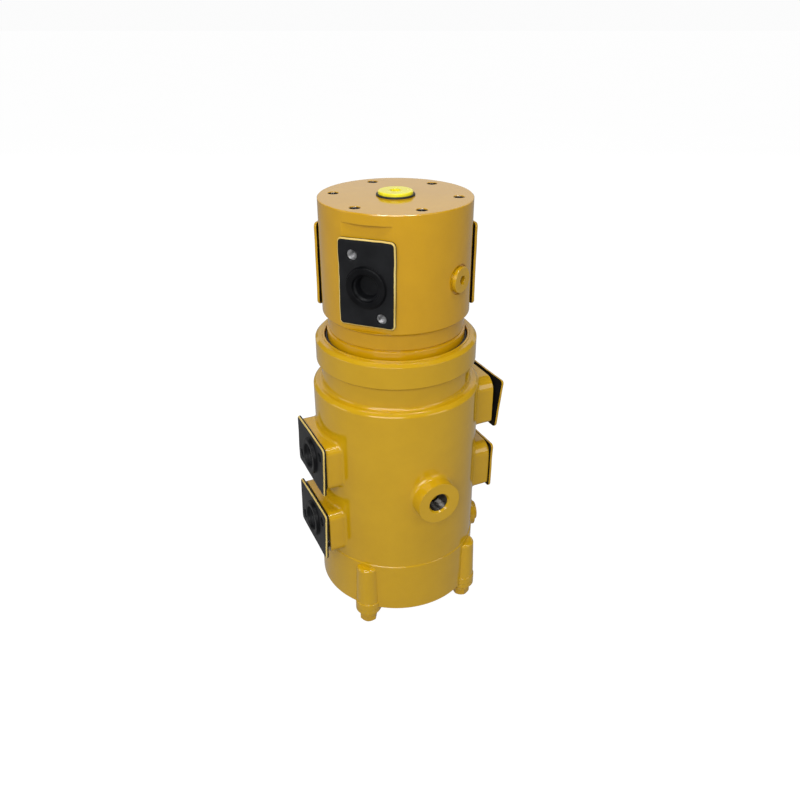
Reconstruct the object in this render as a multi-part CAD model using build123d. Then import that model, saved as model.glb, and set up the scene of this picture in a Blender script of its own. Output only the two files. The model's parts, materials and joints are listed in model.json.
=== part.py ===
from build123d import *
import math
import os

# Hydraulic rotary union (centre swivel joint) for a slewing machine.
# Millimetres. +Z points up along the axis of rotation.
# Origin: on the axis, in the plane of the rotor's top mounting face.
# Azimuths are in degrees about +Z, counted from +X.

# ---------------------------------------------------------------- driving dimensions
# rotor head and neck
HEAD_R = 73.0
HEAD_H = 111.2
NECK_R = 68.2
NECK_GROOVE_Z = -128.6
FOOT_R = 69.4
FOOT_Z = -151.0
SHAFT_R = 48.0
SHAFT_END_Z = -406.0

# top mounting holes of the rotor, M12 tapped
TOP_PCD = 118.0
TOP_HOLE_R = 5.1
TOP_HOLE_DEPTH = 24.0
TOP_HOLE_CHAMFER = 0.4
TOP_HOLE_AZ = [-7.0 + 60.0 * i for i in range(6)]

# housing
COLLAR_R = 81.7
COLLAR_TOP_Z = -136.5
COLLAR_BOT_Z = -163.0
GROOVE_R = 77.0
SHOULDER_Z = -186.6
BODY_R = 86.0
STEP_Z = -373.3
BAND_R = 86.5
BODY_BOT_Z = -432.3
BORE_R = 48.4
MOUTH_R = 74.0
MOUTH_SEAT_Z = -155.0
SUMP_R = 62.0
SUMP_Z = -403.0

# oil levels: annular grooves inside the housing, one to a passage
LEVEL_A = -224.5
LEVEL_B = -260.0
LEVEL_P = -282.5
LEVEL_C = -304.0
LEVEL_D = -340.5
LEVEL_LEAK = -376.0
SEAL_LEVELS = [-202.0, -242.0, -274.0, -291.0, -323.0, -362.0]
MAIN_GROOVE_R = 56.0
MAIN_GROOVE_HALF = 6.5
PILOT_GROOVE_R = 53.5
PILOT_GROOVE_HALF = 3.0

# flange ports: four-bolt pads, 1 inch, 57.15 x 27.76 bolt spacing, M12
PORT_R = 12.7
PAD_BOLT_L = 57.15
PAD_BOLT_W = 27.76
PAD_TAP_R = 5.1
PAD_TAP_DEPTH = 20.0

# housing port pads
PAD_FACE = 94.5
PAD_FACE_RIGHT = 96.5
PAD_W = 77.0
PAD_H = 49.5
PAD_H_RIGHT = 53.0
PAD_CORNER_LEFT = 7.5
PAD_CORNER_RIGHT_TOP = 14.0
PAD_CORNER_RIGHT_LOW = 5.0
PAD_ROOT = 3.2
PAD_SHIFT = 1.3
PAD_SHIFT_RIGHT_UPPER = 2.6
PAD_SHIFT_RIGHT_LOWER = 1.2
LEFT_AZ = -155.0
RIGHT_AZ = 25.0

# rotor head port flats
FLAT_D = 68.8
FLAT_TOP_Z = -10.0
FLAT_BOT_Z = -110.0
HEAD_PORT_Z = -66.6
HEAD_PORT_AZ = {"front": -111.2, "right": 20.0, "rear": 90.0, "left": 160.0}
PASSAGE_R = 11.0
PASSAGE_CIRCLE = 29.5
CENTRE_PORT_R = 13.2
CENTRE_BORE_R = 9.0

# shipping covers
COVER_L = 82.0
COVER_W = 55.5
COVER_T = 3.0
COVER_CORNER = 4.5
COVER_RING_R = 19.2
COVER_RECESS_R = 10.5
COVER_RING_H = 3.2
COVER_HOLE_R = 5.2

# round pilot-port boss, M22x1.5 port
PILOT_AZ = -64.0
PILOT_Z = -286.8
PILOT_FACE = 100.0
PILOT_R = 22.9
PILOT_TAP_R = 10.1
PILOT_TAP_DEPTH = 17.0

# leakage port boss, M18 plug
LEAK_AZ = 12.0
LEAK_FACE = 90.5
LEAK_R = 16.0

# cover-bolt bosses
BOLT_CIRCLE_R = 82.5
RIB_R = 11.8
BOLT_AZ = [-112.0, -24.5, 68.0, 155.5]
RIB_FOOT_R = 13.2
RIB_BREAK_Z = -424.0
LUG_R = 14.0
LUG_CHAMFER = 4.0
LUG_T = 9.0
BOLT_R = 5.0
HEX_AF = 17.0
HEX_H = 8.8
WASHER_T = 3.2
WASHER_R = 10.0

# side plug of the rotor head
SIDE_PLUG_AZ = -36.0
SIDE_PLUG_Z = -67.2


# ---------------------------------------------------------------- helpers
def rplane(az, d, z):
    """Plane facing outward at azimuth az, at distance d from the axis and height z.
    Local x runs round the axis, local y runs up."""
    a = math.radians(az)
    return Plane(origin=(d * math.cos(a), d * math.sin(a), z),
                 x_dir=(-math.sin(a), math.cos(a), 0),
                 z_dir=(math.cos(a), math.sin(a), 0))


def rdrill(az, z, d_from, d_to, r):
    """Round drilling along the radial line at azimuth az."""
    return extrude(rplane(az, d_from, z) * Circle(r), amount=d_to - d_from)


def vdrill(x, y, z_from, z_to, r):
    return extrude(Plane.XY.offset(z_from) * Pos(x, y) * Circle(r), amount=z_to - z_from)


def ring(r_in, r_out, z0, z1):
    return (extrude(Plane.XY.offset(z0) * (Circle(r_out) - Circle(r_in)), amount=z1 - z0))


def revolved(points):
    face = make_face(Plane.XZ * Polyline(*points, close=True))
    return revolve(face, axis=Axis.Z, revolution_arc=360)


def xy(az, r):
    a = math.radians(az)
    return r * math.cos(a), r * math.sin(a)


def one(s):
    """The largest solid of a result, as one Part."""
    so = sorted(s.solids(), key=lambda q: -q.volume)
    return Part() + so[0]


def cone_at(plane, r0, r1, depth):
    """Chamfer cutter: a cone of radius r0 at the plane, r1 at depth below it."""
    return loft([plane * Circle(r0), plane.offset(-depth) * Circle(r1)])


os.makedirs("parts", exist_ok=True)
PARTS = {}

# ---------------------------------------------------------------- housing
outer = [
    (0, BODY_BOT_Z), (BAND_R - 1.2, BODY_BOT_Z), (BAND_R, BODY_BOT_Z + 1.2),
    (BAND_R, STEP_Z - 0.5), (BODY_R - 0.3, STEP_Z + 0.3),
    (BODY_R + 0.2, SHOULDER_Z - 3.4), (BODY_R - 3.2, SHOULDER_Z),
    (GROOVE_R, SHOULDER_Z), (GROOVE_R, COLLAR_BOT_Z),
    (COLLAR_R - 1.4, COLLAR_BOT_Z), (COLLAR_R, COLLAR_BOT_Z + 1.4),
    (COLLAR_R, COLLAR_TOP_Z - 3.0), (COLLAR_R - 3.0, COLLAR_TOP_Z),
    (0, COLLAR_TOP_Z),
]
barrel = revolved(outer)


def edges_at(shape, r, z, tol=0.25):
    """Full circular edges of radius r at height z."""
    out = []
    for e in shape.edges().filter_by(GeomType.CIRCLE):
        if abs(e.radius - r) < tol and abs(e.arc_center.Z - z) < tol:
            out.append(e)
    return ShapeList(out)


barrel = fillet(edges_at(barrel, GROOVE_R, SHOULDER_Z), 3.0)
barrel = fillet(edges_at(barrel, BODY_R - 3.2, SHOULDER_Z), 2.0)
barrel = fillet(edges_at(barrel, BODY_R + 0.2, SHOULDER_Z - 3.4), 2.0)


def pad_face(az):
    """Distance of the pad's machined face from the axis."""
    return PAD_FACE if az == LEFT_AZ else PAD_FACE_RIGHT


def pad_height(az):
    return PAD_H if az == LEFT_AZ else PAD_H_RIGHT


def pad_shift(az, z):
    """Height of the pad's middle above the port's axis."""
    if az == LEFT_AZ:
        return PAD_SHIFT
    return PAD_SHIFT_RIGHT_UPPER if z == LEVEL_A else PAD_SHIFT_RIGHT_LOWER


def pad(az, z):
    """Rectangular port pad with rounded corners, grown from inside the barrel.
    The right-hand pads have their upper corners cast with a wide radius."""
    if az == LEFT_AZ:
        outline = Sketch() + RectangleRounded(PAD_W, PAD_H, PAD_CORNER_LEFT)
    else:
        outline = Sketch() + Rectangle(PAD_W, PAD_H_RIGHT)
        outline = fillet([v for v in outline.vertices() if v.Y > 0], PAD_CORNER_RIGHT_TOP)
        outline = fillet([v for v in outline.vertices() if v.Y < 1 - PAD_H_RIGHT / 2], PAD_CORNER_RIGHT_LOW)
    sk = rplane(az, 60.0, z + pad_shift(az, z)) * outline
    return extrude(sk, amount=pad_face(az) - 60.0)


PADS = [(LEFT_AZ, LEVEL_B), (LEFT_AZ, LEVEL_D), (RIGHT_AZ, LEVEL_A), (RIGHT_AZ, LEVEL_C)]
shell = barrel
for az, z in PADS:
    shell = shell + pad(az, z)

# ribs that take the cover bolts: slightly drafted, with a rounded top end,
# and a wider machined foot below the break line
RIB_TOP_Z = STEP_Z - 4.0
for az in BOLT_AZ:
    x, y = xy(az, BOLT_CIRCLE_R)
    rib = loft([Plane.XY.offset(RIB_BREAK_Z) * Pos(x, y) * Circle(RIB_FOOT_R),
                Plane.XY.offset(RIB_TOP_Z) * Pos(x, y) * Circle(RIB_R)])
    rib = fillet(rib.edges().filter_by(GeomType.CIRCLE).group_by(Axis.Z)[-1], 3.0)
    foot = vdrill(x, y, BODY_BOT_Z, RIB_BREAK_Z, LUG_R)
    foot = fillet(foot.edges().filter_by(GeomType.CIRCLE).group_by(Axis.Z)[-1], 0.7)
    shell = shell + rib + foot

# round bosses
pilot = rdrill(PILOT_AZ, PILOT_Z, 60.0, PILOT_FACE, PILOT_R)
leak = rdrill(LEAK_AZ, LEVEL_LEAK, 60.0, LEAK_FACE, LEAK_R)
shell = shell + pilot + leak


# blends where pads, bosses and ribs leave the barrel
def root_edges(shape, az, z, hw, hh, r_lo, r_hi):
    """Edges whose middle lies near the barrel's surface inside a window round (az, z)."""
    out = []
    a0 = math.radians(az)
    n = Vector(math.cos(a0), math.sin(a0), 0)
    t = Vector(-math.sin(a0), math.cos(a0), 0)
    for e in shape.edges():
        p = e @ 0.5
        ok = True
        for u in (0.0, 0.25, 0.5, 0.75, 1.0):
            q = e @ u
            rr = math.hypot(q.X, q.Y)
            if not (r_lo < rr < r_hi):
                ok = False
        if ok and abs(p.Z - z) < hh and abs(p.dot(t)) < hw and p.dot(n) > 0:
            out.append(e)
    return ShapeList(out)


def blend(shape, az, z, hw, hh, radius, r_lo=BODY_R - 0.5, r_hi=BODY_R + 0.6):
    es = root_edges(shape, az, z, hw, hh, r_lo, r_hi)
    return fillet(es, radius)


for az, z in PADS:
    shell = blend(shell, az, z + pad_shift(az, z), PAD_W / 2 + 3, pad_height(az) / 2 + 2, PAD_ROOT)
shell = blend(shell, PILOT_AZ, PILOT_Z, PILOT_R + 3, PILOT_R + 3, 4.0)

# ---- inside of the housing
cut = vdrill(0, 0, BODY_BOT_Z - 1, COLLAR_TOP_Z + 1, BORE_R)
cut += vdrill(0, 0, MOUTH_SEAT_Z, COLLAR_TOP_Z + 1, FOOT_R + 1.6)
cut += vdrill(0, 0, COLLAR_TOP_Z - 7.0, COLLAR_TOP_Z + 1, MOUTH_R + 0.7)
cut += vdrill(0, 0, BODY_BOT_Z - 1, SUMP_Z, SUMP_R)
for z in (LEVEL_A, LEVEL_B, LEVEL_C, LEVEL_D):
    cut += ring(BORE_R - 1, MAIN_GROOVE_R, z - MAIN_GROOVE_HALF, z + MAIN_GROOVE_HALF)
cut += ring(BORE_R - 1, PILOT_GROOVE_R, LEVEL_P - PILOT_GROOVE_HALF, LEVEL_P + PILOT_GROOVE_HALF)
cut += ring(BORE_R - 1, PILOT_GROOVE_R, LEVEL_LEAK - 4.0, LEVEL_LEAK + 4.0)
SEAL_G_R = 54.6
SEAL_G_HALF = 3.1
for z in SEAL_LEVELS:
    cut += ring(BORE_R - 1, SEAL_G_R, z - SEAL_G_HALF, z + SEAL_G_HALF)
# seats of the two bearing bushes
BUSH_L = 20.0
BUSH_R = 51.5
cut += vdrill(0, 0, MOUTH_SEAT_Z - BUSH_L, MOUTH_SEAT_Z + 1, BUSH_R)
cut += vdrill(0, 0, SUMP_Z - 1, SUMP_Z + BUSH_L - 4, BUSH_R)
housing = shell - cut

# ports and their tapped holes
for az, z in PADS:
    housing -= rdrill(az, z, 50.0, pad_face(az) + 2, PORT_R)
    for sx in (-1, 1):
        for sy in (-1, 1):
            pl = rplane(az, pad_face(az), z)
            loc = pl * Pos(sx * PAD_BOLT_L / 2, sy * PAD_BOLT_W / 2)
            housing -= extrude(loc * Circle(PAD_TAP_R), amount=-PAD_TAP_DEPTH)
            housing -= loft([loc * Circle(6.4), loc * Pos(0, 0, -1.3) * Circle(PAD_TAP_R)])

# pilot port: tapped with a sealing chamfer, then a small drilling to its groove
housing -= rdrill(PILOT_AZ, PILOT_Z, PILOT_FACE - PILOT_TAP_DEPTH, PILOT_FACE + 2, PILOT_TAP_R)
housing -= cone_at(rplane(PILOT_AZ, PILOT_FACE, PILOT_Z), 11.5, PILOT_TAP_R, 2.2)
housing -= rdrill(PILOT_AZ, LEVEL_P - 3.2, 50.0, PILOT_FACE - PILOT_TAP_DEPTH + 1, 4.0)

# leakage port
LEAK_TAP_R = 8.2
housing -= rdrill(LEAK_AZ, LEVEL_LEAK, LEAK_FACE - 14.0, LEAK_FACE + 2, LEAK_TAP_R)
housing -= rdrill(LEAK_AZ, LEVEL_LEAK, 50.0, LEAK_FACE - 13.0, 3.4)

# tapped holes for the cover bolts
for az in BOLT_AZ:
    x, y = xy(az, BOLT_CIRCLE_R)
    housing -= vdrill(x, y, BODY_BOT_Z - 1, BODY_BOT_Z + 26.0, BOLT_R)
PARTS["housing"] = one(housing)

# ---------------------------------------------------------------- seals and bushes in the housing
slip, ener = [], []
for z in SEAL_LEVELS:
    slip.append(ring(48.3, 50.8, z - 2.9, z + 2.9))
    ener.append(Pos(0, 0, z) * Torus(52.7, 1.8))
PARTS["slipper_seal_rings"] = Compound(children=[s.solids()[0] for s in slip])
PARTS["seal_energiser_rings"] = Compound(children=[s.solids()[0] for s in ener])


def bush(z0, z1):
    b = ring(48.05, BUSH_R, z0, z1)
    b = chamfer(b.edges().filter_by(GeomType.CIRCLE), 0.6)
    # shallow oil groove round the middle of the running face
    b -= ring(47.0, 48.9, (z0 + z1) / 2 - 1.2, (z0 + z1) / 2 + 1.2)
    return one(b)


PARTS["upper_bearing_bush"] = bush(MOUTH_SEAT_Z - BUSH_L, MOUTH_SEAT_Z)
PARTS["lower_bearing_bush"] = bush(SUMP_Z, SUMP_Z + BUSH_L - 4)
PARTS["upper_thrust_washer"] = ring(52.2, 68.5, MOUTH_SEAT_Z, FOOT_Z - 0.3)
# dust seal in the collar mouth: pressed steel case and a rubber lip
case = revolved([(MOUTH_R + 0.7, COLLAR_TOP_Z - 7.0), (MOUTH_R + 0.7, COLLAR_TOP_Z + 0.1),
                 (MOUTH_R + 0.2, COLLAR_TOP_Z + 0.6), (MOUTH_R - 1.3, COLLAR_TOP_Z + 0.6),
                 (MOUTH_R - 1.8, COLLAR_TOP_Z + 0.1), (MOUTH_R - 1.8, COLLAR_TOP_Z - 5.4),
                 (FOOT_R + 2.2, COLLAR_TOP_Z - 5.4), (FOOT_R + 2.2, COLLAR_TOP_Z - 7.0)])
PARTS["dust_seal_case"] = one(case)
lip = revolved([(MOUTH_R - 1.8, COLLAR_TOP_Z - 5.4), (MOUTH_R - 1.8, COLLAR_TOP_Z - 2.6),
                (FOOT_R + 1.4, COLLAR_TOP_Z - 1.6), (FOOT_R + 0.4, COLLAR_TOP_Z - 1.4),
                (FOOT_R + 0.35, COLLAR_TOP_Z - 2.2), (FOOT_R + 1.2, COLLAR_TOP_Z - 5.4)])
PARTS["dust_seal_lip"] = one(lip)

# ---------------------------------------------------------------- rotor
rotor = revolved([
    (0, SHAFT_END_Z), (SHAFT_R - 2.0, SHAFT_END_Z), (SHAFT_R, SHAFT_END_Z + 2.0),
    (SHAFT_R, FOOT_Z), (FOOT_R - 0.8, FOOT_Z), (FOOT_R, FOOT_Z + 0.8),
    (FOOT_R, NECK_GROOVE_Z - 1.0), (NECK_R - 1.2, NECK_GROOVE_Z), (NECK_R, NECK_GROOVE_Z + 1.2),
    (NECK_R, -HEAD_H), (HEAD_R - 1.6, -HEAD_H), (HEAD_R, -HEAD_H + 1.6),
    (HEAD_R, -0.7), (HEAD_R - 0.7, 0), (0, 0),
])
rotor = fillet(edges_at(rotor, NECK_R, -HEAD_H), 1.6)

# milled flats for the flange ports, with a ledge above and below
for az in HEAD_PORT_AZ.values():
    pl = rplane(az, FLAT_D, (FLAT_TOP_Z + FLAT_BOT_Z) / 2)
    rotor -= extrude(pl * Rectangle(60, FLAT_TOP_Z - FLAT_BOT_Z), amount=10)
for az in HEAD_PORT_AZ.values():
    rotor -= rdrill(az, HEAD_PORT_Z, PASSAGE_CIRCLE, FLAT_D + 2, PORT_R)
    for sx in (-1, 1):
        for sy in (-1, 1):
            pl = rplane(az, FLAT_D, HEAD_PORT_Z)
            loc = pl * Pos(sx * PAD_BOLT_W / 2, sy * PAD_BOLT_L / 2)
            rotor -= extrude(loc * Circle(PAD_TAP_R), amount=-PAD_TAP_DEPTH)
            rotor -= loft([loc * Circle(6.4), loc * Pos(0, 0, -1.3) * Circle(PAD_TAP_R)])

# vertical passages drilled from the lower end and their cross drillings
PASSAGES = {"front": LEVEL_B, "right": LEVEL_A, "rear": LEVEL_C, "left": LEVEL_D}
for key, az in HEAD_PORT_AZ.items():
    x, y = xy(az, PASSAGE_CIRCLE)
    rotor -= vdrill(x, y, SHAFT_END_Z - 1, HEAD_PORT_Z + 2.0, PASSAGE_R)
    rotor -= rdrill(az, PASSAGES[key], PASSAGE_CIRCLE, SHAFT_R + 2, 8.0)

# centre passage with its cross drilling to the pilot groove
rotor -= vdrill(0, 0, -18.0, 1, CENTRE_PORT_R)
rotor -= cone_at(Plane.XY, CENTRE_PORT_R + 1.2, CENTRE_PORT_R, 1.2)
rotor -= vdrill(0, 0, -300.0, -17.0, CENTRE_BORE_R)
rotor -= rdrill(-45.0, LEVEL_P, 0.0, SHAFT_R + 2, 4.0)

# side port of the head with its spotface
SPOT_D = HEAD_R - 1.6
rotor -= rdrill(SIDE_PLUG_AZ, SIDE_PLUG_Z, SPOT_D, HEAD_R + 3, 14.2)
rotor -= rdrill(SIDE_PLUG_AZ, SIDE_PLUG_Z, SPOT_D - 14.0, HEAD_R + 3, 8.2)
rotor -= rdrill(SIDE_PLUG_AZ, SIDE_PLUG_Z, 0.0, SPOT_D - 13.0, 4.0)

# top mounting holes
for az in TOP_HOLE_AZ:
    x, y = xy(az, TOP_PCD / 2)
    rotor -= vdrill(x, y, -TOP_HOLE_DEPTH, 1, TOP_HOLE_R)
    rotor -= loft([Plane.XY * Pos(x, y) * Circle(TOP_HOLE_R + TOP_HOLE_CHAMFER),
                   Plane.XY.offset(-TOP_HOLE_CHAMFER) * Pos(x, y) * Circle(TOP_HOLE_R)])

# tapped holes in the lower end for the thrust plate
THRUST_SCREW_AZ = [55.0, 125.0, -170.0, -45.0]
THRUST_SCREW_R = 38.0
for az in THRUST_SCREW_AZ:
    x, y = xy(az, THRUST_SCREW_R)
    rotor -= vdrill(x, y, SHAFT_END_Z - 1, SHAFT_END_Z + 18.0, 4.0)
PARTS["rotor"] = one(rotor)

# ---------------------------------------------------------------- lower end of the rotor
PLATE_T = 12.0
plate_z1 = SHAFT_END_Z
plate_z0 = SHAFT_END_Z - PLATE_T
plate = ring(16.0, 60.0, plate_z0, plate_z1)
plate = chamfer(plate.edges().filter_by(GeomType.CIRCLE), 1.0)
for az in THRUST_SCREW_AZ:
    x, y = xy(az, THRUST_SCREW_R)
    plate -= vdrill(x, y, plate_z0 - 1, plate_z1 + 1, 4.5)
    plate -= vdrill(x, y, plate_z0 - 1, plate_z0 + 6.0, 7.2)
PARTS["thrust_plate"] = one(plate)

screws = []
for az in THRUST_SCREW_AZ:
    x, y = xy(az, THRUST_SCREW_R)
    s = vdrill(x, y, plate_z0 + 6.0, SHAFT_END_Z + 16.0, 4.0)
    s += vdrill(x, y, plate_z0 - 2.0, plate_z0 + 6.0, 6.5)
    s -= extrude(Plane.XY.offset(plate_z0 - 2.5) * Pos(x, y) * RegularPolygon(3.0, 6, major_radius=False), amount=4.5)
    screws.append(one(s).solids()[0])
PARTS["thrust_plate_screws"] = Compound(children=screws)

plugs = []
for key, az in HEAD_PORT_AZ.items():
    x, y = xy(az, PASSAGE_CIRCLE)
    p = vdrill(x, y, SHAFT_END_Z + 0.5, SHAFT_END_Z + 14.0, PASSAGE_R)
    p -= extrude(Plane.XY.offset(SHAFT_END_Z) * Pos(x, y) * RegularPolygon(5.0, 6, major_radius=False), amount=8.0)
    plugs.append(one(p).solids()[0])
PARTS["passage_plugs"] = Compound(children=plugs)

# bronze ring between the thrust plate and the housing's lower shoulder
PARTS["lower_thrust_washer"] = ring(52.2, 61.0, SHAFT_END_Z + 0.3, SUMP_Z)

# ---------------------------------------------------------------- bottom cover
cv = vdrill(0, 0, BODY_BOT_Z - LUG_T, BODY_BOT_Z, 76.0)
cv += vdrill(0, 0, BODY_BOT_Z, BODY_BOT_Z + 5.0, SUMP_R - 0.1)
for az in BOLT_AZ:
    x, y = xy(az, BOLT_CIRCLE_R)
    lug = vdrill(x, y, BODY_BOT_Z - LUG_T, BODY_BOT_Z - 0.0, LUG_R)
    x2, y2 = xy(az, BOLT_CIRCLE_R - 20)
    web = extrude(Plane(origin=((x + x2) / 2, (y + y2) / 2, BODY_BOT_Z - LUG_T),
                        x_dir=(math.cos(math.radians(az)), math.sin(math.radians(az)), 0),
                        z_dir=(0, 0, 1)) * Rectangle(20, 2 * LUG_R), amount=LUG_T)
    cv += lug + web
low = cv.edges().group_by(Axis.Z)[0]
cv = chamfer(low, LUG_CHAMFER)
# seal groove round the spigot
cv -= ring(SUMP_R - 2.6, SUMP_R + 1, BODY_BOT_Z + 1.2, BODY_BOT_Z + 4.2)
# hollow of the cover, under the thrust plate's screw heads
cv -= vdrill(0, 0, BODY_BOT_Z - 1.0, BODY_BOT_Z + 6.0, 50.0)
for az in BOLT_AZ:
    x, y = xy(az, BOLT_CIRCLE_R)
    cv -= vdrill(x, y, BODY_BOT_Z - LUG_T - 1, BODY_BOT_Z + 1, BOLT_R + 0.5)
PARTS["bottom_cover"] = one(cv)
PARTS["bottom_cover_seal"] = one(Pos(0, 0, BODY_BOT_Z + 2.7) * Torus(SUMP_R - 1.3, 1.22))

bolts, washers = [], []
for az in BOLT_AZ:
    x, y = xy(az, BOLT_CIRCLE_R)
    z_w1 = BODY_BOT_Z - LUG_T
    z_w0 = z_w1 - WASHER_T
    w = vdrill(x, y, z_w0, z_w1, WASHER_R) - vdrill(x, y, z_w0 - 1, z_w1 + 1, BOLT_R + 0.2)
    washers.append(one(w).solids()[0])
    hx = extrude(Plane.XY.offset(z_w0 - HEX_H) * Pos(x, y) * Rot(0, 0, az + 15) *
                 RegularPolygon(HEX_AF / 2, 6, major_radius=False), amount=HEX_H)
    # crowned hexagon: cut back by a cone on the free end
    crown = vdrill(x, y, z_w0 - HEX_H + 2.4, z_w0, 12.0) + loft([
        Plane.XY.offset(z_w0 - HEX_H) * Pos(x, y) * Circle(HEX_AF / 2 - 1.4),
        Plane.XY.offset(z_w0 - HEX_H + 2.4) * Pos(x, y) * Circle(HEX_AF / 2 + 1.4)])
    hx = hx & crown
    hx = hx + vdrill(x, y, z_w0, BODY_BOT_Z + 20.0, BOLT_R)
    bolts.append(one(hx).solids()[0])
PARTS["bottom_cover_bolts"] = Compound(children=bolts)
PARTS["bottom_cover_washers"] = Compound(children=washers)


# ---------------------------------------------------------------- shipping covers
def port_cover(upright, tilt_x=0.0, tilt_y=0.0, lift=0.0, spigot=7.0, spigot_r=PORT_R - 0.4, dx=0.0, dy=0.0):
    """Moulded flange plug in its own frame: the plate's back at z=0, outward +z.
    Local x is the long way unless upright. dx, dy: plate outline off the port's centre."""
    L, W = (COVER_W, COVER_L) if upright else (COVER_L, COVER_W)
    p = extrude(Pos(dx, dy) * RectangleRounded(L, W, COVER_CORNER), amount=COVER_T)
    p = fillet(p.edges().group_by(Axis.Z)[-1], 0.8)
    p += extrude(Plane.XY.offset(COVER_T) * Circle(COVER_RING_R), amount=COVER_RING_H)
    p = fillet(p.edges().filter_by(GeomType.CIRCLE).group_by(Axis.Z)[-1], 1.2)
    if spigot > 0:
        p += extrude(Circle(spigot_r), amount=-spigot)
    p -= extrude(Plane.XY.offset(COVER_T + COVER_RING_H) * Circle(COVER_RECESS_R),
                 amount=-(COVER_RING_H + COVER_T + max(spigot - 2.5, -2.0)))
    bx, by = (PAD_BOLT_W / 2, PAD_BOLT_L / 2) if upright else (PAD_BOLT_L / 2, PAD_BOLT_W / 2)
    for s in (-1, 1):
        # the two punched holes lie on the falling diagonal of an upright cover,
        # on the rising diagonal of a lying one
        q = (-s * bx, s * by) if upright else (s * bx, s * by)
        p -= extrude(Plane.XY.offset(-1) * Pos(*q) * Circle(COVER_HOLE_R), amount=COVER_T + 2)
    return one(Pos(0, 0, lift) * Rot(tilt_x, tilt_y, 0) * p)


def placed(cover, az, d, z):
    return Part() + (rplane(az, d, z).location * cover).solids()[0]


PARTS["head_port_cover_front"] = placed(port_cover(True, lift=0.1, dx=0.0, dy=3.0), HEAD_PORT_AZ["front"], FLAT_D, HEAD_PORT_Z)
for key in ("right", "rear", "left"):
    PARTS["head_port_cover_" + key] = placed(port_cover(True, lift=1.2), HEAD_PORT_AZ[key], FLAT_D, HEAD_PORT_Z)
PARTS["housing_port_cover_left_upper"] = placed(port_cover(False, tilt_x=-0.8, lift=0.7), LEFT_AZ, PAD_FACE, LEVEL_B)
PARTS["housing_port_cover_left_lower"] = placed(port_cover(False, tilt_x=-1.4, lift=2.2), LEFT_AZ, PAD_FACE, LEVEL_D)
PARTS["housing_port_cover_right_upper"] = placed(port_cover(False, tilt_x=6.5, tilt_y=1.5, lift=4.8, spigot=7.0, spigot_r=11.2, dy=-1.5), RIGHT_AZ, PAD_FACE_RIGHT, LEVEL_A)
PARTS["housing_port_cover_right_lower"] = placed(port_cover(False, tilt_x=0.4, lift=0.5), RIGHT_AZ, PAD_FACE_RIGHT, LEVEL_C)


# ---------------------------------------------------------------- threaded plugs
def socket_plug(az, d, z, r_thread, head_r, head_h, length, socket_af):
    """Collared plug with a hexagon socket, seated on a sealing ring."""
    pl = rplane(az, d, z)
    p = extrude(pl * Circle(head_r), amount=head_h)
    p = fillet(p.edges().filter_by(GeomType.CIRCLE), 0.8) if head_h > 1.6 else p
    p += extrude(pl * Circle(r_thread), amount=-length)
    top = pl.offset(head_h + 0.1)
    p -= extrude(top * RegularPolygon(socket_af / 2, 6, major_radius=False), amount=-(head_h + 5.0))
    return one(p)


def seal_ring(az, d, z, r_in, r_out, t):
    pl = rplane(az, d, z)
    return one(extrude(pl * (Circle(r_out) - Circle(r_in)), amount=t))


PARTS["head_side_plug"] = socket_plug(SIDE_PLUG_AZ, SPOT_D + 0.9, SIDE_PLUG_Z, 8.2, 12.4, 4.0, 12.0, 8.0)
PARTS["head_side_plug_seal"] = seal_ring(SIDE_PLUG_AZ, SPOT_D, SIDE_PLUG_Z, 8.3, 12.2, 0.9)
PARTS["leak_port_plug"] = socket_plug(LEAK_AZ, LEAK_FACE + 1.2, LEVEL_LEAK, 8.2, 10.6, 2.8, 12.0, 8.0)
PARTS["leak_port_plug_seal"] = seal_ring(LEAK_AZ, LEAK_FACE, LEVEL_LEAK, 8.3, 11.4, 1.2)

# centre plug: plastic screw-in plug with a low flange on a rubber ring
CP_SEAL_R = 18.3
CP_SEAL_T = 1.6
CP_R = 16.4
CP_H = 2.8
cp = vdrill(0, 0, CP_SEAL_T, CP_SEAL_T + CP_H, CP_R)
cp = fillet(cp.edges().filter_by(GeomType.CIRCLE).group_by(Axis.Z)[-1], 1.0)
cp += vdrill(0, 0, -12.0, CP_SEAL_T, CENTRE_PORT_R)
cp -= extrude(Plane.XY.offset(CP_SEAL_T + CP_H + 0.1) * RegularPolygon(5.0, 6, major_radius=False), amount=-7.0)
cp -= vdrill(0, 0, -13.0, -3.0, 10.6)
PARTS["centre_plug"] = one(cp)
sr = ring(CENTRE_PORT_R + 1.3, CP_SEAL_R, 0.0, CP_SEAL_T)
sr = fillet(edges_at(sr, CP_SEAL_R, CP_SEAL_T), 0.7)
PARTS["centre_plug_seal"] = one(sr)

# ---------------------------------------------------------------- output
for name, shape in PARTS.items():
    export_step(shape, "parts/" + name + ".step")
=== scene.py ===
import json
import math

import bmesh
import bpy
from mathutils import Matrix, Vector, noise


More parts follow.
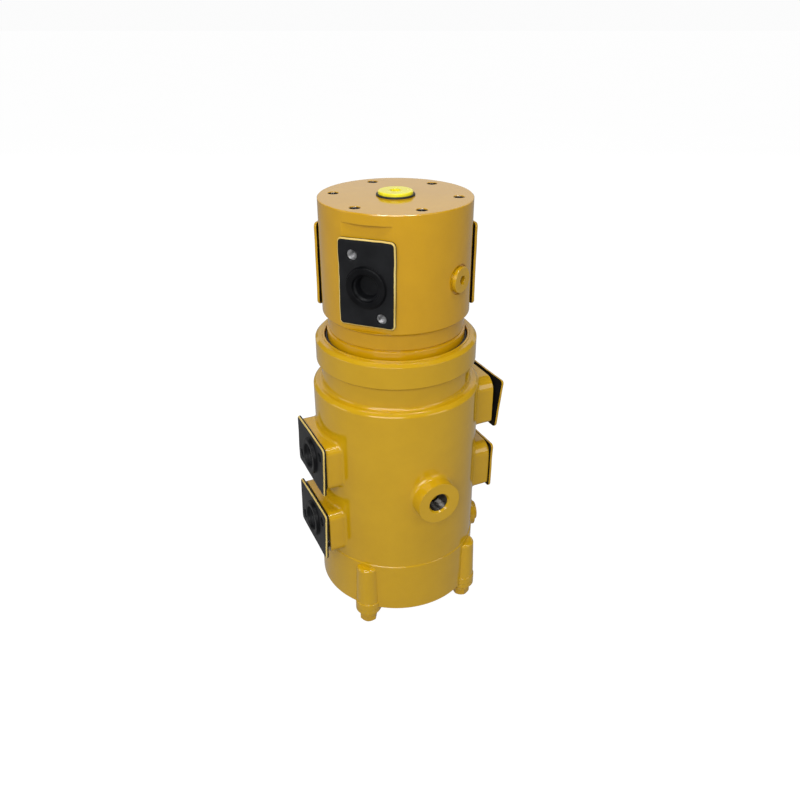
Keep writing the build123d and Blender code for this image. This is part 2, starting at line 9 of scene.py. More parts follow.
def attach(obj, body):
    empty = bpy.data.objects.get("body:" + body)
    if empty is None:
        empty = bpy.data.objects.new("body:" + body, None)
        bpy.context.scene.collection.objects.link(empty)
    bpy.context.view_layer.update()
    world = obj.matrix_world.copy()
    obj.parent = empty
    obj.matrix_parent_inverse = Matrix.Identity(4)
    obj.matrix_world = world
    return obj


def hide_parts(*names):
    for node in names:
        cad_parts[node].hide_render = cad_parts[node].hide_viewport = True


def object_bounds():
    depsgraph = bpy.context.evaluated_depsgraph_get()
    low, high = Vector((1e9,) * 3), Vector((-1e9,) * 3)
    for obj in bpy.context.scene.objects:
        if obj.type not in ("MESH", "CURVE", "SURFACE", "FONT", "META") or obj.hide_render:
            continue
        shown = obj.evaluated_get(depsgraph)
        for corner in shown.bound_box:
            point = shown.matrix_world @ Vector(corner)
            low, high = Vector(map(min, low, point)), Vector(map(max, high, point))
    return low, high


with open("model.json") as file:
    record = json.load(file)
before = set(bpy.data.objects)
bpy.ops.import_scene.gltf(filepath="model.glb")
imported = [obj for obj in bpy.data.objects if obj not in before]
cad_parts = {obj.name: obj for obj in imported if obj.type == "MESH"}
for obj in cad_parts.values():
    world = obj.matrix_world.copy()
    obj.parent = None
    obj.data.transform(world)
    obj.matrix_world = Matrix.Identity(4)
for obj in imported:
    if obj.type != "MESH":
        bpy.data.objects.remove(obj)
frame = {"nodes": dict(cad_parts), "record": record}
cad_lo, cad_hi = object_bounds()
scene = bpy.context.scene
nodes = frame["nodes"]

MM = 0.001

# ------------------------------------------------------------------ dimensions repeated from the model (mm)
HEAD_R = 73.0
PORT_R = 12.7
PAD_BOLT_L, PAD_BOLT_W = 57.15, 27.76
PAD_TAP_R, PAD_TAP_DEPTH = 5.1, 20.0
PAD_FACE = 94.5
PAD_FACE_RIGHT = 96.5
FLAT_D = 68.8
HEAD_PORT_Z = -66.6
HEAD_PORT_AZ = {"front": -111.2, "right": 20.0, "rear": 90.0, "left": 160.0}
LEFT_AZ, RIGHT_AZ = -155.0, 25.0
LEVELS = {"A": -224.5, "B": -260.0, "C": -304.0, "D": -340.5}
COVER_L, COVER_W, COVER_T, COVER_CORNER = 82.0, 55.5, 3.0, 4.5
RING_R, RECESS_R, RING_H, COVER_HOLE_R = 19.2, 12.9, 3.2, 5.0
TOP_PCD, TOP_HOLE_R, TOP_HOLE_DEPTH = 118.0, 5.1, 24.0
TOP_HOLE_AZ = [-7.0 + 60.0 * i for i in range(6)]
PILOT_AZ, PILOT_Z, PILOT_FACE, PILOT_TAP_R, PILOT_TAP_DEPTH = -64.0, -286.8, 100.0, 10.1, 17.0


# ------------------------------------------------------------------ camera
cam_data = bpy.data.cameras.new("camera")
cam = bpy.data.objects.new("camera", cam_data)
scene.collection.objects.link(cam)
cam_data.sensor_width = 36.0
cam_data.lens = 33.80
cam_data.clip_start = 0.01
cam_data.clip_end = 50.0
cam.location = (0.00408, -0.7034, 0.1664)
cam.rotation_euler = (math.radians(90.0 - 28.59), 0.0, 0.0)
scene.camera = cam


# ------------------------------------------------------------------ helpers
def link(obj):
    scene.collection.objects.link(obj)
    return obj


def frame_at(az, d, z):
    """Matrix of a local frame at azimuth az, distance d from the axis and height z (mm): x round the axis, y up, z outward."""
    a = math.radians(az)
    m = Matrix(((-math.sin(a), 0.0, math.cos(a), d * math.cos(a) * MM),
                (math.cos(a), 0.0, math.sin(a), d * math.sin(a) * MM),
                (0.0, 1.0, 0.0, z * MM),
                (0.0, 0.0, 0.0, 1.0)))
    return m


def mesh_object(name, bm, mats=(), smooth_angle=35.0):
    me = bpy.data.meshes.new(name)
    bm.to_mesh(me)
    bm.free()
    for m in mats:
        me.materials.append(m)
    obj = link(bpy.data.objects.new(name, me))
    shade(obj, smooth_angle)
    return obj


def shade(obj, angle=35.0):
    me = obj.data
    me.polygons.foreach_set("use_smooth", [True] * len(me.polygons))
    me.set_sharp_from_angle(angle=math.radians(angle))
    me.update()


class Graph:
    """Small helper for node materials."""

    def __init__(self, name):
        self.mat = bpy.data.materials.new(name)
        self.mat.use_nodes = True
        self.t = self.mat.node_tree
        self.t.nodes.clear()
        self.out = self.t.nodes.new("ShaderNodeOutputMaterial")
        self.bsdf = self.t.nodes.new("ShaderNodeBsdfPrincipled")
        self.t.links.new(self.bsdf.outputs[0], self.out.inputs[0])
        self.coord = self.t.nodes.new("ShaderNodeTexCoord")

    def set(self, **kw):
        for k, v in kw.items():
            name = {"color": "Base Color", "rough": "Roughness", "metal": "Metallic", "spec": "Specular IOR Level",
                    "coat": "Coat Weight", "coat_rough": "Coat Roughness", "sheen": "Sheen Weight",
                    "sss": "Subsurface Weight", "ior": "IOR", "aniso": "Anisotropic",
                    "sss_radius": "Subsurface Radius", "sss_scale": "Subsurface Scale"}[k]
            self.bsdf.inputs[name].default_value = v

    def node(self, kind, **props):
        n = self.t.nodes.new(kind)
        for k, v in props.items():
            setattr(n, k, v)
        return n

    def link(self, a, b):
        self.t.links.new(a, b)

    def noise(self, scale, detail=2.0, rough=0.5, distort=0.0, vec=None):
        n = self.node("ShaderNodeTexNoise")
        n.inputs["Scale"].default_value = scale
        n.inputs["Detail"].default_value = detail
        n.inputs["Roughness"].default_value = rough
        n.inputs["Distortion"].default_value = distort
        self.link(vec if vec is not None else self.coord.outputs["Object"], n.inputs["Vector"])
        return n.outputs["Fac"]

    def ramp(self, fac, stops):
        n = self.node("ShaderNodeValToRGB")
        el = n.color_ramp.elements
        while len(el) < len(stops):
            el.new(0.5)
        for e, (p, c) in zip(el, stops):
            e.position = p
            e.color = (*c, 1.0) if len(c) == 3 else c
        self.link(fac, n.inputs["Fac"])
        return n.outputs["Color"]

    def rmap(self, fac, lo, hi, a=0.0, b=1.0):
        n = self.node("ShaderNodeMapRange")
        n.inputs["From Min"].default_value = a
        n.inputs["From Max"].default_value = b
        n.inputs["To Min"].default_value = lo
        n.inputs["To Max"].default_value = hi
        self.link(fac, n.inputs["Value"])
        return n.outputs["Result"]

    def mix(self, fac, a, b, kind="MIX"):
        n = self.node("ShaderNodeMix", data_type="RGBA", blend_type=kind)
        for sock, v in ((n.inputs["Factor"], fac), (n.inputs["A"], a), (n.inputs["B"], b)):
            if isinstance(v, (int, float)):
                sock.default_value = v
            elif isinstance(v, tuple):
                sock.default_value = (*v, 1.0) if len(v) == 3 else v
            else:
                self.link(v, sock)
        # the RGBA sockets are the third pair on the node
        return [o for o in n.outputs if o.type == "RGBA"][0]

    def math(self, op, a, b=None, clamp=False):
        n = self.node("ShaderNodeMath", operation=op, use_clamp=clamp)
        for i, v in enumerate((a, b)):
            if v is None:
                continue
            if isinstance(v, (int, float)):
                n.inputs[i].default_value = v
            else:
                self.link(v, n.inputs[i])
        return n.outputs[0]

    def bump(self, height, strength, distance, normal=None):
        n = self.node("ShaderNodeBump")
        n.inputs["Strength"].default_value = strength
        n.inputs["Distance"].default_value = distance
        self.link(height, n.inputs["Height"])
        if normal is not None:
            self.link(normal, n.inputs["Normal"])
        return n.outputs["Normal"]


def rgba_mix(g, fac, a, b, kind="MIX"):
    n = g.t.nodes.new("ShaderNodeMix")
    n.data_type = "RGBA"
    n.blend_type = kind
    f = [i for i in n.inputs if i.name == "Factor" and i.type == "VALUE"][0]
    ab = [i for i in n.inputs if i.type == "RGBA"]
    for sock, v in ((f, fac), (ab[0], a), (ab[1], b)):
        if isinstance(v, (int, float)):
            sock.default_value = v
        elif isinstance(v, tuple):
            sock.default_value = (*v, 1.0) if len(v) == 3 else v
        else:
            g.link(v, sock)
    return [o for o in n.outputs if o.type == "RGBA"][0]


Graph.mix = rgba_mix


# ------------------------------------------------------------------ materials
def enamel(name, lo, hi, peel=1.0, rough=(0.09, 0.15)):
    """Glossy machine enamel over a casting: slow tone drift, dust in the film, orange peel and casting waves."""
    g = Graph(name)
    slow = g.noise(7.0, 3.0, 0.55)
    mid = g.noise(60.0, 4.0, 0.6)
    fine = g.noise(900.0, 3.0, 0.65)
    base = g.ramp(slow, [(0.30, lo), (0.70, hi)])
    spots = g.ramp(mid, [(0.35, (0.93, 0.92, 0.90)), (0.62, (1.0, 1.0, 1.0))])
    col = g.mix(0.45, base, spots, "MULTIPLY")
    speck = g.rmap(fine, 0.0, 0.08, 0.62, 0.80)
    col = g.mix(speck, col, (0.25, 0.14, 0.02))
    g.link(col, g.bsdf.inputs["Base Color"])
    g.link(g.rmap(g.noise(45.0, 3.0, 0.6), rough[0], rough[1], 0.3, 0.7), g.bsdf.inputs["Roughness"])
    g.set(spec=0.66, ior=1.5)
    edge = g.node("ShaderNodeBevel", samples=4)
    edge.inputs["Radius"].default_value = 0.0010
    n1 = g.bump(g.noise(420.0, 2.0, 0.5), 0.03 * peel, 0.0005, edge.outputs["Normal"])
    n2 = g.bump(g.noise(45.0, 2.0, 0.5), 0.10 * peel, 0.0012, n1)
    g.link(n2, g.bsdf.inputs["Normal"])
    return g.mat


def bare_metal(name, color, rough=(0.22, 0.42), scale=300.0, bump=0.10):
    g = Graph(name)
    a = g.noise(scale, 4.0, 0.6)
    b = g.noise(scale * 0.2, 3.0, 0.6)
    dark = tuple(c * 0.72 for c in color)
    g.link(g.ramp(b, [(0.3, dark), (0.7, color)]), g.bsdf.inputs["Base Color"])
    g.link(g.rmap(a, rough[0], rough[1], 0.3, 0.7), g.bsdf.inputs["Roughness"])
    g.set(metal=1.0)
    g.link(g.bump(a, bump, 0.0002), g.bsdf.inputs["Normal"])
    return g.mat


def rubber(name, color, rough=(0.38, 0.55), spec=0.5, grain=700.0, bump=0.12):
    g = Graph(name)
    a = g.noise(grain, 3.0, 0.6)
    b = g.noise(40.0, 4.0, 0.6)
    lighter = tuple(min(1.0, c * 1.7 + 0.004) for c in color)
    g.link(g.ramp(b, [(0.35, color), (0.75, lighter)]), g.bsdf.inputs["Base Color"])
    g.link(g.rmap(b, rough[0], rough[1], 0.3, 0.7), g.bsdf.inputs["Roughness"])
    g.set(spec=spec)
    g.link(g.bump(a, bump, 0.0003), g.bsdf.inputs["Normal"])
    return g.mat


def plastic(name, color, deep, rough=(0.18, 0.30)):
    g = Graph(name)
    b = g.noise(120.0, 3.0, 0.6)
    g.link(g.ramp(b, [(0.3, deep), (0.7, color)]), g.bsdf.inputs["Base Color"])
    g.link(g.rmap(g.noise(300.0, 3.0, 0.6), rough[0], rough[1], 0.3, 0.7), g.bsdf.inputs["Roughness"])
    g.set(spec=0.5, sss=0.15, sss_scale=0.002)
    g.bsdf.inputs["Subsurface Radius"].default_value = (1.0, 0.9, 0.3)
    g.link(g.bump(g.noise(500.0, 2.0, 0.5), 0.05, 0.0003), g.bsdf.inputs["Normal"])
    return g.mat


def overspray(name):
    """The cover's rim: cream-yellow paint mist over black rubber, patchy at its edges."""
    g = Graph(name)
    patch = g.noise(260.0, 4.0, 0.65)
    tone = g.noise(30.0, 3.0, 0.5)
    paint = g.ramp(tone, [(0.3, (0.62, 0.42, 0.08)), (0.7, (0.80, 0.62, 0.20))])
    mask = g.rmap(patch, 1.0, 0.0, 0.66, 0.76)
    g.link(g.mix(mask, (0.05, 0.04, 0.02), paint), g.bsdf.inputs["Base Color"])
    g.link(g.rmap(patch, 0.30, 0.5, 0.3, 0.7), g.bsdf.inputs["Roughness"])
    g.set(spec=0.5, coat=0.2, coat_rough=0.2)
    g.link(g.bump(patch, 0.18, 0.0003), g.bsdf.inputs["Normal"])
    return g.mat


M_ENAMEL = enamel("yellow_enamel", (0.560, 0.322, 0.003), (0.610, 0.358, 0.006))
M_ENAMEL_ROTOR = enamel("yellow_enamel_turned", (0.566, 0.298, 0.001), (0.616, 0.332, 0.003), peel=0.55)
M_ENAMEL_SMALL = enamel("yellow_enamel_small", (0.556, 0.312, 0.002), (0.610, 0.346, 0.005), peel=0.5)
M_STEEL = bare_metal("machined_steel", (0.55, 0.55, 0.56))
# thread steel pushed near white (0.93) so the head and housing port threads glint: painted highlight, the lit twin of
# the near-black copy below
M_THREAD_PAINTED_BRIGHT = bare_metal("thread_steel_painted_highlight", (0.93, 0.93, 0.94), rough=(0.26, 0.38))
# the same thread steel made near black (0.085): painted shade inside the deep top holes and the pilot port
M_THREAD_PAINTED_SHADE = bare_metal("thread_steel_painted_shade", (0.085, 0.080, 0.072), rough=(0.22, 0.36))
M_BRONZE = bare_metal("bearing_bronze", (0.62, 0.40, 0.18))
M_COVER = rubber("cover_rubber", (0.0048, 0.0052, 0.0062), rough=(0.40, 0.52), spec=0.20, bump=0.08)
# the raised ring is the same rubber as the plate, made about three times darker: painted shade on the ring
M_COVER_RING_PAINTED_SHADE = rubber("cover_ring_rubber_painted_shade", (0.0016, 0.0018, 0.0024), rough=(0.34, 0.46), spec=0.14, bump=0.05)
M_SEAL = rubber("seal_rubber", (0.010, 0.010, 0.010), rough=(0.45, 0.6), spec=0.4)
M_RIM = overspray("cover_overspray")
M_PLUG = plastic("plug_plastic", (0.90, 0.84, 0.03), (0.82, 0.72, 0.02))
M_SLIPPER = plastic("slipper_plastic", (0.14, 0.20, 0.22), (0.10, 0.15, 0.17), rough=(0.35, 0.5))

SLOT_MAT = {"yellow_enamel": M_ENAMEL, "bare_steel": M_STEEL, "cover_rubber": M_COVER, "seal_rubber": M_SEAL,
            "bearing_bronze": M_BRONZE, "slipper_plastic": M_SLIPPER, "plug_plastic": M_PLUG}
for sp in frame["record"]["subparts"]:
    obj = nodes[sp["node"]]
    mat = SLOT_MAT[sp["material_slot"]]
    if sp["node"] == "rotor":
        mat = M_ENAMEL_ROTOR
    if sp["node"] in ("bottom_cover_bolts", "bottom_cover_washers", "head_side_plug", "head_side_plug_seal", "leak_port_plug",
                      "leak_port_plug_seal", "dust_seal_case"):
        mat = M_ENAMEL_SMALL
    obj.data.materials.clear()
    obj.data.materials.append(mat)
    shade(obj, 30.0)


# ------------------------------------------------------------------ port covers
def wavy(s, seed, amp):
    """Smooth hand-trimmed waviness along the outline, s in mm."""
    return amp * (noise.noise(Vector((s * 0.035, seed * 7.3, 0.0))) + 0.5 * noise.noise(Vector((s * 0.11, seed * 3.1, 5.0))))


def outline(L, W, r, seed, amp, inset=0.0):
    """Rounded rectangle as a closed list of points, pulled in by a slow wave."""
    pts = []
    hx, hy = L / 2 - r, W / 2 - r
    corners = [(hx, hy, 0), (-hx, hy, 90), (-hx, -hy, 180), (hx, -hy, 270)]
    s = 0.0
    raw = []
    for i, (cx, cy, a0) in enumerate(corners):
        for k in range(9):
            a = math.radians(a0 + 90.0 * k / 8)
            raw.append((cx + r * math.cos(a), cy + r * math.sin(a), math.cos(a), math.sin(a)))
        nx_, ny_, na = corners[(i + 1) % 4]
        a = math.radians(a0 + 90.0)
        x0, y0 = cx + r * math.cos(a), cy + r * math.sin(a)
        b = math.radians(na)
        x1, y1 = nx_ + r * math.cos(b), ny_ + r * math.sin(b)
        n = 22
        for k in range(1, n):
            t = k / n
            raw.append((x0 + (x1 - x0) * t, y0 + (y1 - y0) * t, math.cos(a), math.sin(a)))
    total = sum(math.hypot(p[0] - q[0], p[1] - q[1]) for p, q in zip(raw, raw[1:] + raw[:1]))
    for j, (x, y, nx, ny) in enumerate(raw):
        if j:
            s += math.hypot(x - raw[j - 1][0], y - raw[j - 1][1])
        # two readings of the wave cross-faded, so that the outline closes smoothly
        k = s / total
        w = wavy(s, seed, amp) * (1 - k) + wavy(s - total, seed, amp) * k + inset
        pts.append((x - nx * w, y - ny * w))
    return pts


def circle_pts(cx, cy, r, n=48):
    return [(cx + r * math.cos(2 * math.pi * k / n), cy + r * math.sin(2 * math.pi * k / n)) for k in range(n)]


def filled(bm, loops, z, flip=False):
    """Fills the region between the first loop and the others at height z; returns the loops' vertices."""
    rings = []
    edges = []
    for lp in loops:
        vs = [bm.verts.new((x, y, z)) for x, y in lp]
        rings.append(vs)
        for a, b in zip(vs, vs[1:] + vs[:1]):
            edges.append(bm.edges.new((a, b)))
    res = bmesh.ops.triangle_fill(bm, use_beauty=True, use_dissolve=False, edges=edges)
    faces = [f for f in res["geom"] if isinstance(f, bmesh.types.BMFace)]
    for f in faces:
        f.normal_update()
        if (f.normal.z < 0) != flip:
            f.normal_flip()
    return rings, faces


def bridge(bm, a, b, mat=0):
    out = []
    n = len(a)
    for i in range(n):
        j = (i + 1) % n
        f = bm.faces.new((a[i], a[j], b[j], b[i]))
        f.material_index = mat
        out.append(f)
    return out


def make_cover(name, node, body, az, d, z, upright, tilt=0.0, turn=0.0, lift=0.0, seed=1.0, bow=0.0, spigot=7.0,
               spigot_r=PORT_R - 0.4, dx=0.0, dy=0.0, amp=0.5, warp=(0.0, 0.0, 0.0, 0.0), blind=False, edge=1, rim_mat=None):
    """Moulded rubber flange plug: plate with a painted rim, raised ring with a blind recess, two punched holes."""
    L, W = (COVER_W, COVER_L) if upright else (COVER_L, COVER_W)
    T = COVER_T
    bm = bmesh.new()
    bx, by = (PAD_BOLT_W / 2, PAD_BOLT_L / 2) if upright else (PAD_BOLT_L / 2, PAD_BOLT_W / 2)
    holes = [(-s * bx, s * by) if upright else (s * bx, s * by) for s in (-1, 1)]
    rim = 1.3

    def shift(pts):
        return [(x + dx, y + dy) for x, y in pts]

    out_side = shift(outline(L, W, COVER_CORNER, seed, amp))
    out_face = shift(outline(L, W, COVER_CORNER, seed, amp, inset=rim))
    out_mid = shift(outline(L, W, COVER_CORNER, seed, amp, inset=rim * 0.35))
    hl = [circle_pts(x, y, COVER_HOLE_R + 0.4, 32) for x, y in holes]
    hl_in = [circle_pts(x, y, COVER_HOLE_R, 32) for x, y in holes]
    ring_c = circle_pts(0, 0, RING_R + 1.0, 72)
    # front
    rings, faces = filled(bm, [out_face, ring_c] + hl, T)
    for f in faces:
        f.material_index = 0
    front, ring_v, h0, h1 = rings
    mid = [bm.verts.new((x, y, T - 0.42)) for x, y in out_mid]
    side = [bm.verts.new((x, y, T - 1.25)) for x, y in out_side]
    low = [bm.verts.new((x, y, 0.3)) for x, y in out_side]
    bridge(bm, mid, front, 1)
    bridge(bm, side, mid, 1)
    bridge(bm, low, side, edge)
    # back
    back_rings, bf = filled(bm, [shift(outline(L, W, COVER_CORNER, seed, amp, inset=0.25)), circle_pts(0, 0, spigot_r, 48)] + hl_in, 0.0, flip=True)
    for f in bf:
        f.material_index = 0
    bridge(bm, back_rings[0], low, edge)
    # punched holes
    for hv, lowv in ((h0, back_rings[2]), (h1, back_rings[3])):
        zmid = [bm.verts.new((v.co.x, v.co.y, T - 0.5)) for v in lowv]
        bridge(bm, hv, zmid, 0)
        bridge(bm, zmid, lowv, 0)
        if blind:
            # the hole is still closed by its moulding skin, flush with the back
            bm.faces.new(lowv)
    # ring, recess and plug as one lathe profile (radius, z)
    depth = -(spigot - 0.8)
    inner = min(RECESS_R, spigot_r) - 1.6
    prof = [(RING_R + 1.0, T), (RING_R + 0.35, T + 0.15), (RING_R, T + 0.7), (RING_R - 0.1, T + RING_H - 1.1), (RING_R - 0.45, T + RING_H - 0.35),
            (RING_R - 1.2, T + RING_H), (RING_R - 3.0, T + RING_H + 0.0), (RECESS_R + 1.1, T + RING_H - 0.05), (RECESS_R + 0.35, T + RING_H - 0.3),
            (RECESS_R, T + RING_H - 0.9), (RECESS_R - 0.5, T + 0.4), (inner + 0.4, T - 0.6), (inner, T - 1.6), (inner - 0.3, depth + 1.0),
            (inner - 1.0, depth + 0.15), (inner - 2.0, depth)]
    n = 72
    prev = ring_v
    for r, zz in prof[1:]:
        cur = [bm.verts.new((r * math.cos(2 * math.pi * k / n), r * math.sin(2 * math.pi * k / n), zz)) for k in range(n)]
        # the raised ring takes slot 2, the darker rubber copy that paints shade on it
        m = 2 if zz > T + 0.1 else 0
        bridge(bm, prev, cur, m)
        prev = cur
    c = bm.verts.new((0, 0, depth))
    for i in range(n):
        bm.faces.new((prev[i], prev[(i + 1) % n], c))
    # outside of the plug, down in the port
    sp = back_rings[1]
    end = [bm.verts.new((v.co.x, v.co.y, -spigot + 0.6)) for v in sp]
    end2 = [bm.verts.new((v.co.x * 0.95, v.co.y * 0.95, -spigot)) for v in sp]
    bridge(bm, sp, end, 0)
    bridge(bm, end, end2, 0)
    cc = bm.verts.new((0, 0, -spigot))
    for i in range(len(end2)):
        bm.faces.new((end2[i], end2[(i + 1) % len(end2)], cc))
    # cut the long triangles up, so that the plate can bow
    for axis, half in (("x", L / 2), ("y", W / 2)):
        v = -half + 3.0
        while v < half:
            co = (v, 0, 0) if axis == "x" else (0, v, 0)
            no = (1, 0, 0) if axis == "x" else (0, 1, 0)
            bmesh.ops.bisect_plane(bm, geom=bm.verts[:] + bm.edges[:] + bm.faces[:], dist=1e-5, plane_co=co, plane_no=no)
            v += 4.5
    bmesh.ops.recalc_face_normals(bm, faces=bm.faces[:])
    for v in bm.verts:
        x, y, zz = v.co
        u, w = x / (L / 2), y / (W / 2)
        rr = math.hypot(x, y)
        fade = min(1.0, max(0.0, (rr - RING_R) / 14.0))
        h = bow * fade * (u * u * 0.5 + w * w * 0.5)
        h += fade * 0.30 * noise.noise(Vector((x * 0.05 + seed * 11, y * 0.05, seed)))
        if warp != (0.0, 0.0, 0.0, 0.0) and rr > spigot_r + 0.5:
            # corner lifts in the order (-x -y), (+x -y), (+x +y), (-x +y)
            p, q = (u + 1) / 2, (w + 1) / 2
            h += (warp[0] * (1 - p) * (1 - q) + warp[1] * p * (1 - q) + warp[2] * p * q + warp[3] * (1 - p) * q) * min(1.0, (rr - spigot_r) / 12.0)
        v.co.z = max(v.co.z + h, v.co.z)
    m = frame_at(az, d, z) @ Matrix.Translation((0, 0, lift * MM)) @ Matrix.Rotation(math.radians(turn), 4, "Y") @ Matrix.Rotation(math.radians(tilt), 4, "X") @ Matrix.Scale(MM, 4)
    bm.transform(m)
    obj = mesh_object(name, bm, [M_COVER, rim_mat or M_RIM, M_COVER_RING_PAINTED_SHADE], 38.0)
    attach(obj, body)
    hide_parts(node)
    return obj


make_cover("head_cover_front", "head_port_cover_front", "rotor_body", HEAD_PORT_AZ["front"], FLAT_D, HEAD_PORT_Z, True, lift=0.1, seed=2.0,
           bow=0.25, dy=3.0, amp=0.9, edge=0)
for i, key in enumerate(("right", "rear", "left")):
    make_cover("head_cover_" + key, "head_port_cover_" + key, "rotor_body", HEAD_PORT_AZ[key], FLAT_D, HEAD_PORT_Z, True, lift=1.2,
               seed=3.0 + i, bow=0.25, rim_mat=M_ENAMEL_SMALL)
make_cover("housing_cover_left_upper", "housing_port_cover_left_upper", "housing_body", LEFT_AZ, PAD_FACE, LEVELS["B"], False, tilt=-0.8,
           lift=0.7, seed=6.0, bow=0.2, warp=(0.0, 1.2, 0.0, 0.0), edge=0)
make_cover("housing_cover_left_lower", "housing_port_cover_left_lower", "housing_body", LEFT_AZ, PAD_FACE, LEVELS["D"], False, tilt=-1.4,
           lift=2.2, seed=7.0, bow=0.2, warp=(0.0, 1.2, 0.0, 0.4), edge=0)
make_cover("housing_cover_right_upper", "housing_port_cover_right_upper", "housing_body", RIGHT_AZ, PAD_FACE_RIGHT, LEVELS["A"], False, tilt=6.5,
           turn=1.5, lift=4.8, seed=8.0, bow=0.4, spigot_r=11.2, dy=-1.5, blind=True, rim_mat=M_ENAMEL_SMALL)
make_cover("housing_cover_right_lower", "housing_port_cover_right_lower", "housing_body", RIGHT_AZ, PAD_FACE_RIGHT, LEVELS["C"], False, tilt=0.4,
           lift=0.5, seed=9.0, bow=0.2, blind=True, rim_mat=M_ENAMEL_SMALL)


# ------------------------------------------------------------------ threads in the open tapped holes
def thread_cup(bm, matrix, r_wall, depth, pitch, height, start=0.0, bottom_hole=0.0, mouth=None, n=40):
    """A thin steel lining of a tapped hole: helical thread inside, plain outside, closed bottom. Local z points out of the hole."""
    steps = max(8, int(depth / pitch * 8))
    inner = []
    z0 = -start
    z1 = -depth
    rows = [z0 + (z1 - z0) * k / steps for k in range(steps + 1)]
    for zz in rows:
        row = []
        for j in range(n):
            a = 2 * math.pi * j / n
            ph = (zz / pitch + j / n) % 1.0
            tri = abs(2 * ph - 1)
            r = r_wall - 0.06 - height * (1.0 - min(1.0, tri * 1.25))
            row.append(bm.verts.new(matrix @ Vector((r * math.cos(a) * MM, r * math.sin(a) * MM, zz * MM))))
        inner.append(row)
    for a, b in zip(inner, inner[1:]):
        for j in range(n):
            k = (j + 1) % n
            bm.faces.new((a[j], b[j], b[k], a[k]))
    # mouth, outer skin and bottom
    def circ(r, zz):
        return [bm.verts.new(matrix @ Vector((r * math.cos(2 * math.pi * j / n) * MM, r * math.sin(2 * math.pi * j / n) * MM, zz * MM))) for j in range(n)]
    rings = []
    if mouth:
        rings.append(circ(mouth - 0.05, -0.05))
        rings.append(circ(mouth + 0.0, -0.12))
    rings.append(circ(r_wall - 0.02, -start - 0.1))
    rings.append(circ(r_wall - 0.02, -depth - 0.05))
    prev = inner[0]
    for r in rings:
        for j in range(n):
            k = (j + 1) % n
            bm.faces.new((prev[j], prev[k], r[k], r[j]))
        prev = r
    floor_r = bottom_hole if bottom_hole else 0.3
    fi = circ(floor_r, -depth)
    fo = circ(floor_r, -depth - 0.05)
    last = inner[-1]
    for j in range(n):
        k = (j + 1) % n
        bm.faces.new((last[j], fi[j], fi[k], last[k]))
        bm.faces.new((prev[j], prev[k], fo[k], fo[j]))
        bm.faces.new((fi[j], fo[j], fo[k], fi[k]))
    if not bottom_hole:
        bm.faces.new([fi[j] for j in range(n)])
        bm.faces.new([fo[j] for j in reversed(range(n))])


def threads(name, body, places, mat, **kw):
    bm = bmesh.new()
    for m in places:
        thread_cup(bm, m, **kw)
    bmesh.ops.recalc_face_normals(bm, faces=bm.faces[:])
    obj = mesh_object(name, bm, [mat], 50.0)
    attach(obj, body)
    return obj


top = []
for az in TOP_HOLE_AZ:
    a = math.radians(az)
    top.append(Matrix.Translation((TOP_PCD / 2 * math.cos(a) * MM, TOP_PCD / 2 * math.sin(a) * MM, 0)))
# the top holes take the near-black thread steel, painted shade in the holes
threads("threads_top_holes", "rotor_body", top, M_THREAD_PAINTED_SHADE, r_wall=TOP_HOLE_R, depth=TOP_HOLE_DEPTH - 0.2, pitch=1.75, height=0.8, start=0.6)

heads = []
for az in HEAD_PORT_AZ.values():
    for sx in (-1, 1):
        for sy in (-1, 1):
            heads.append(frame_at(az, FLAT_D, HEAD_PORT_Z) @ Matrix.Translation((sx * PAD_BOLT_W / 2 * MM, sy * PAD_BOLT_L / 2 * MM, 0)))
# the head and housing port threads take the near-white thread steel, a painted highlight
threads("threads_head_ports", "rotor_body", heads, M_THREAD_PAINTED_BRIGHT, r_wall=PAD_TAP_R, depth=PAD_TAP_DEPTH - 0.2, pitch=1.75, height=0.8, start=1.3, mouth=6.3)

pads = []
for az, lv in ((LEFT_AZ, "B"), (LEFT_AZ, "D"), (RIGHT_AZ, "A"), (RIGHT_AZ, "C")):
    for sx in (-1, 1):
        for sy in (-1, 1):
            pads.append(frame_at(az, PAD_FACE if az == LEFT_AZ else PAD_FACE_RIGHT, LEVELS[lv]) @ Matrix.Translation((sx * PAD_BOLT_L / 2 * MM, sy * PAD_BOLT_W / 2 * MM, 0)))
threads("threads_housing_ports", "housing_body", pads, M_THREAD_PAINTED_BRIGHT, r_wall=PAD_TAP_R, depth=PAD_TAP_DEPTH - 0.2, pitch=1.75, height=0.8, start=1.3, mouth=6.3)

# the pilot port takes the near-black thread steel, painted shade in the hole
threads("threads_pilot_port", "housing_body", [frame_at(PILOT_AZ, PILOT_FACE, PILOT_Z)], M_THREAD_PAINTED_SHADE, r_wall=PILOT_TAP_R,
        depth=PILOT_TAP_DEPTH - 0.2, pitch=1.5, height=0.7, start=2.3, bottom_hole=7.0, n=64)


# ------------------------------------------------------------------ studio
def area(name, loc, target, size, power, size_y=None, color=(1, 1, 1)):
    d = bpy.data.lights.new(name, "AREA")
    d.energy = power
    d.color = color
    d.size = size
    if size_y:
        d.shape = "RECTANGLE"
        d.size_y = size_y
    o = link(bpy.data.objects.new(name, d))
    o.location = loc
    o.rotation_euler = (Vector(target) - Vector(loc)).to_track_quat("-Z", "Y").to_euler()
    return o


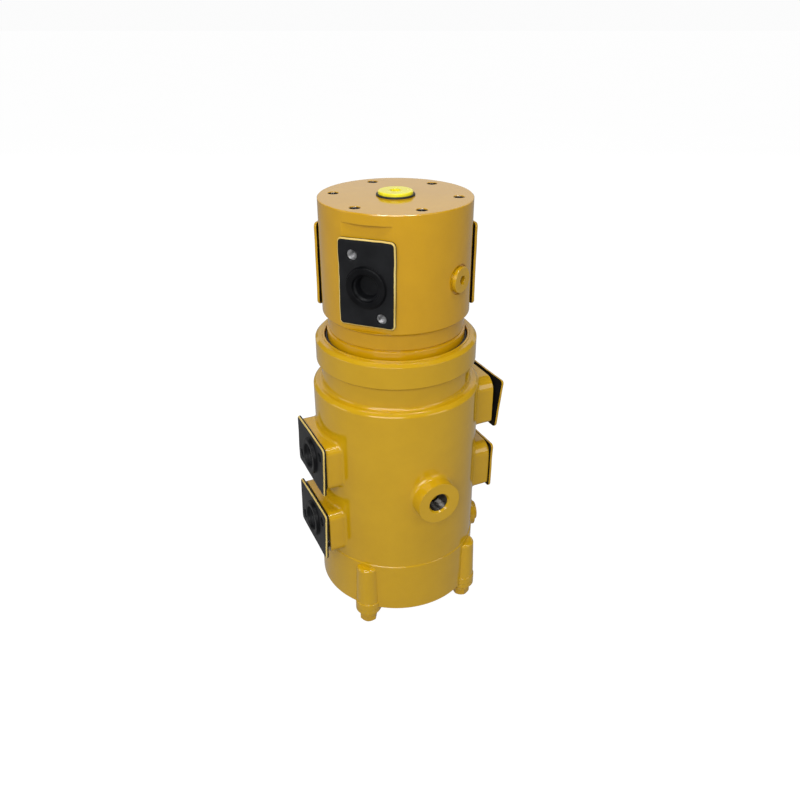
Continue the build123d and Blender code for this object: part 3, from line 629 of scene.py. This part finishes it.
floor_z = cad_lo.z
bm = bmesh.new()
bmesh.ops.create_grid(bm, x_segments=1, y_segments=1, size=14.0)
bmesh.ops.translate(bm, vec=(0, 0, floor_z), verts=bm.verts)
g = Graph("studio_floor")
g.link(g.ramp(g.noise(3.0, 2.0), [(0.3, (0.10, 0.10, 0.10)), (0.7, (0.12, 0.12, 0.12))]), g.bsdf.inputs["Base Color"])
g.set(rough=0.9, spec=0.1)
g.bsdf.inputs["Emission Color"].default_value = (1.0, 1.0, 1.0, 1.0)
floor_path = g.node("ShaderNodeLightPath")
shown = g.node("ShaderNodeMapRange")
g.link(floor_path.outputs["Is Camera Ray"], shown.inputs["Value"])
shown.inputs["To Min"].default_value = 0.28
shown.inputs["To Max"].default_value = 0.97
g.link(shown.outputs["Result"], g.bsdf.inputs["Emission Strength"])
floor = mesh_object("studio_floor", bm, [g.mat])

world = bpy.data.worlds.new("studio")
scene.world = world
world.use_nodes = True
wt = world.node_tree
bg = wt.nodes["Background"]
bg.inputs["Color"].default_value = (1.0, 1.0, 1.0, 1.0)
bg.inputs["Strength"].default_value = 0.12
bg_cam = wt.nodes.new("ShaderNodeBackground")
bg_cam.inputs["Color"].default_value = (1.0, 1.0, 1.0, 1.0)
bg_cam.inputs["Strength"].default_value = 0.97
lp = wt.nodes.new("ShaderNodeLightPath")
mx = wt.nodes.new("ShaderNodeMixShader")
wt.links.new(lp.outputs["Is Camera Ray"], mx.inputs[0])
wt.links.new(bg.outputs[0], mx.inputs[1])
wt.links.new(bg_cam.outputs[0], mx.inputs[2])
wt.links.new(mx.outputs[0], wt.nodes["World Output"].inputs[0])


def softbox(name, az, elev, dist, w, h, radiance, target=(0, 0, -0.2), color=(1, 1, 1)):
    a, e = math.radians(az), math.radians(elev)
    loc = Vector(target) + Vector((math.cos(a) * math.cos(e), math.sin(a) * math.cos(e), math.sin(e))) * dist
    return area(name, loc, target, w, radiance * math.pi * w * h, size_y=h, color=color)


softbox("key_strip", -90, 76, 1.8, 2.0, 0.06, 44.0)
softbox("fill_front", -103, 30, 2.2, 1.6, 1.2, 5.4)
softbox("fill_left", -168, 16, 2.2, 1.0, 1.0, 1.7)
softbox("fill_right", -34, 20, 2.2, 1.0, 1.2, 2.1)
softbox("backdrop", 90, 24, 2.4, 4.4, 1.7, 0.7)

scene.view_settings.view_transform = "Standard"
scene.view_settings.look = "None"
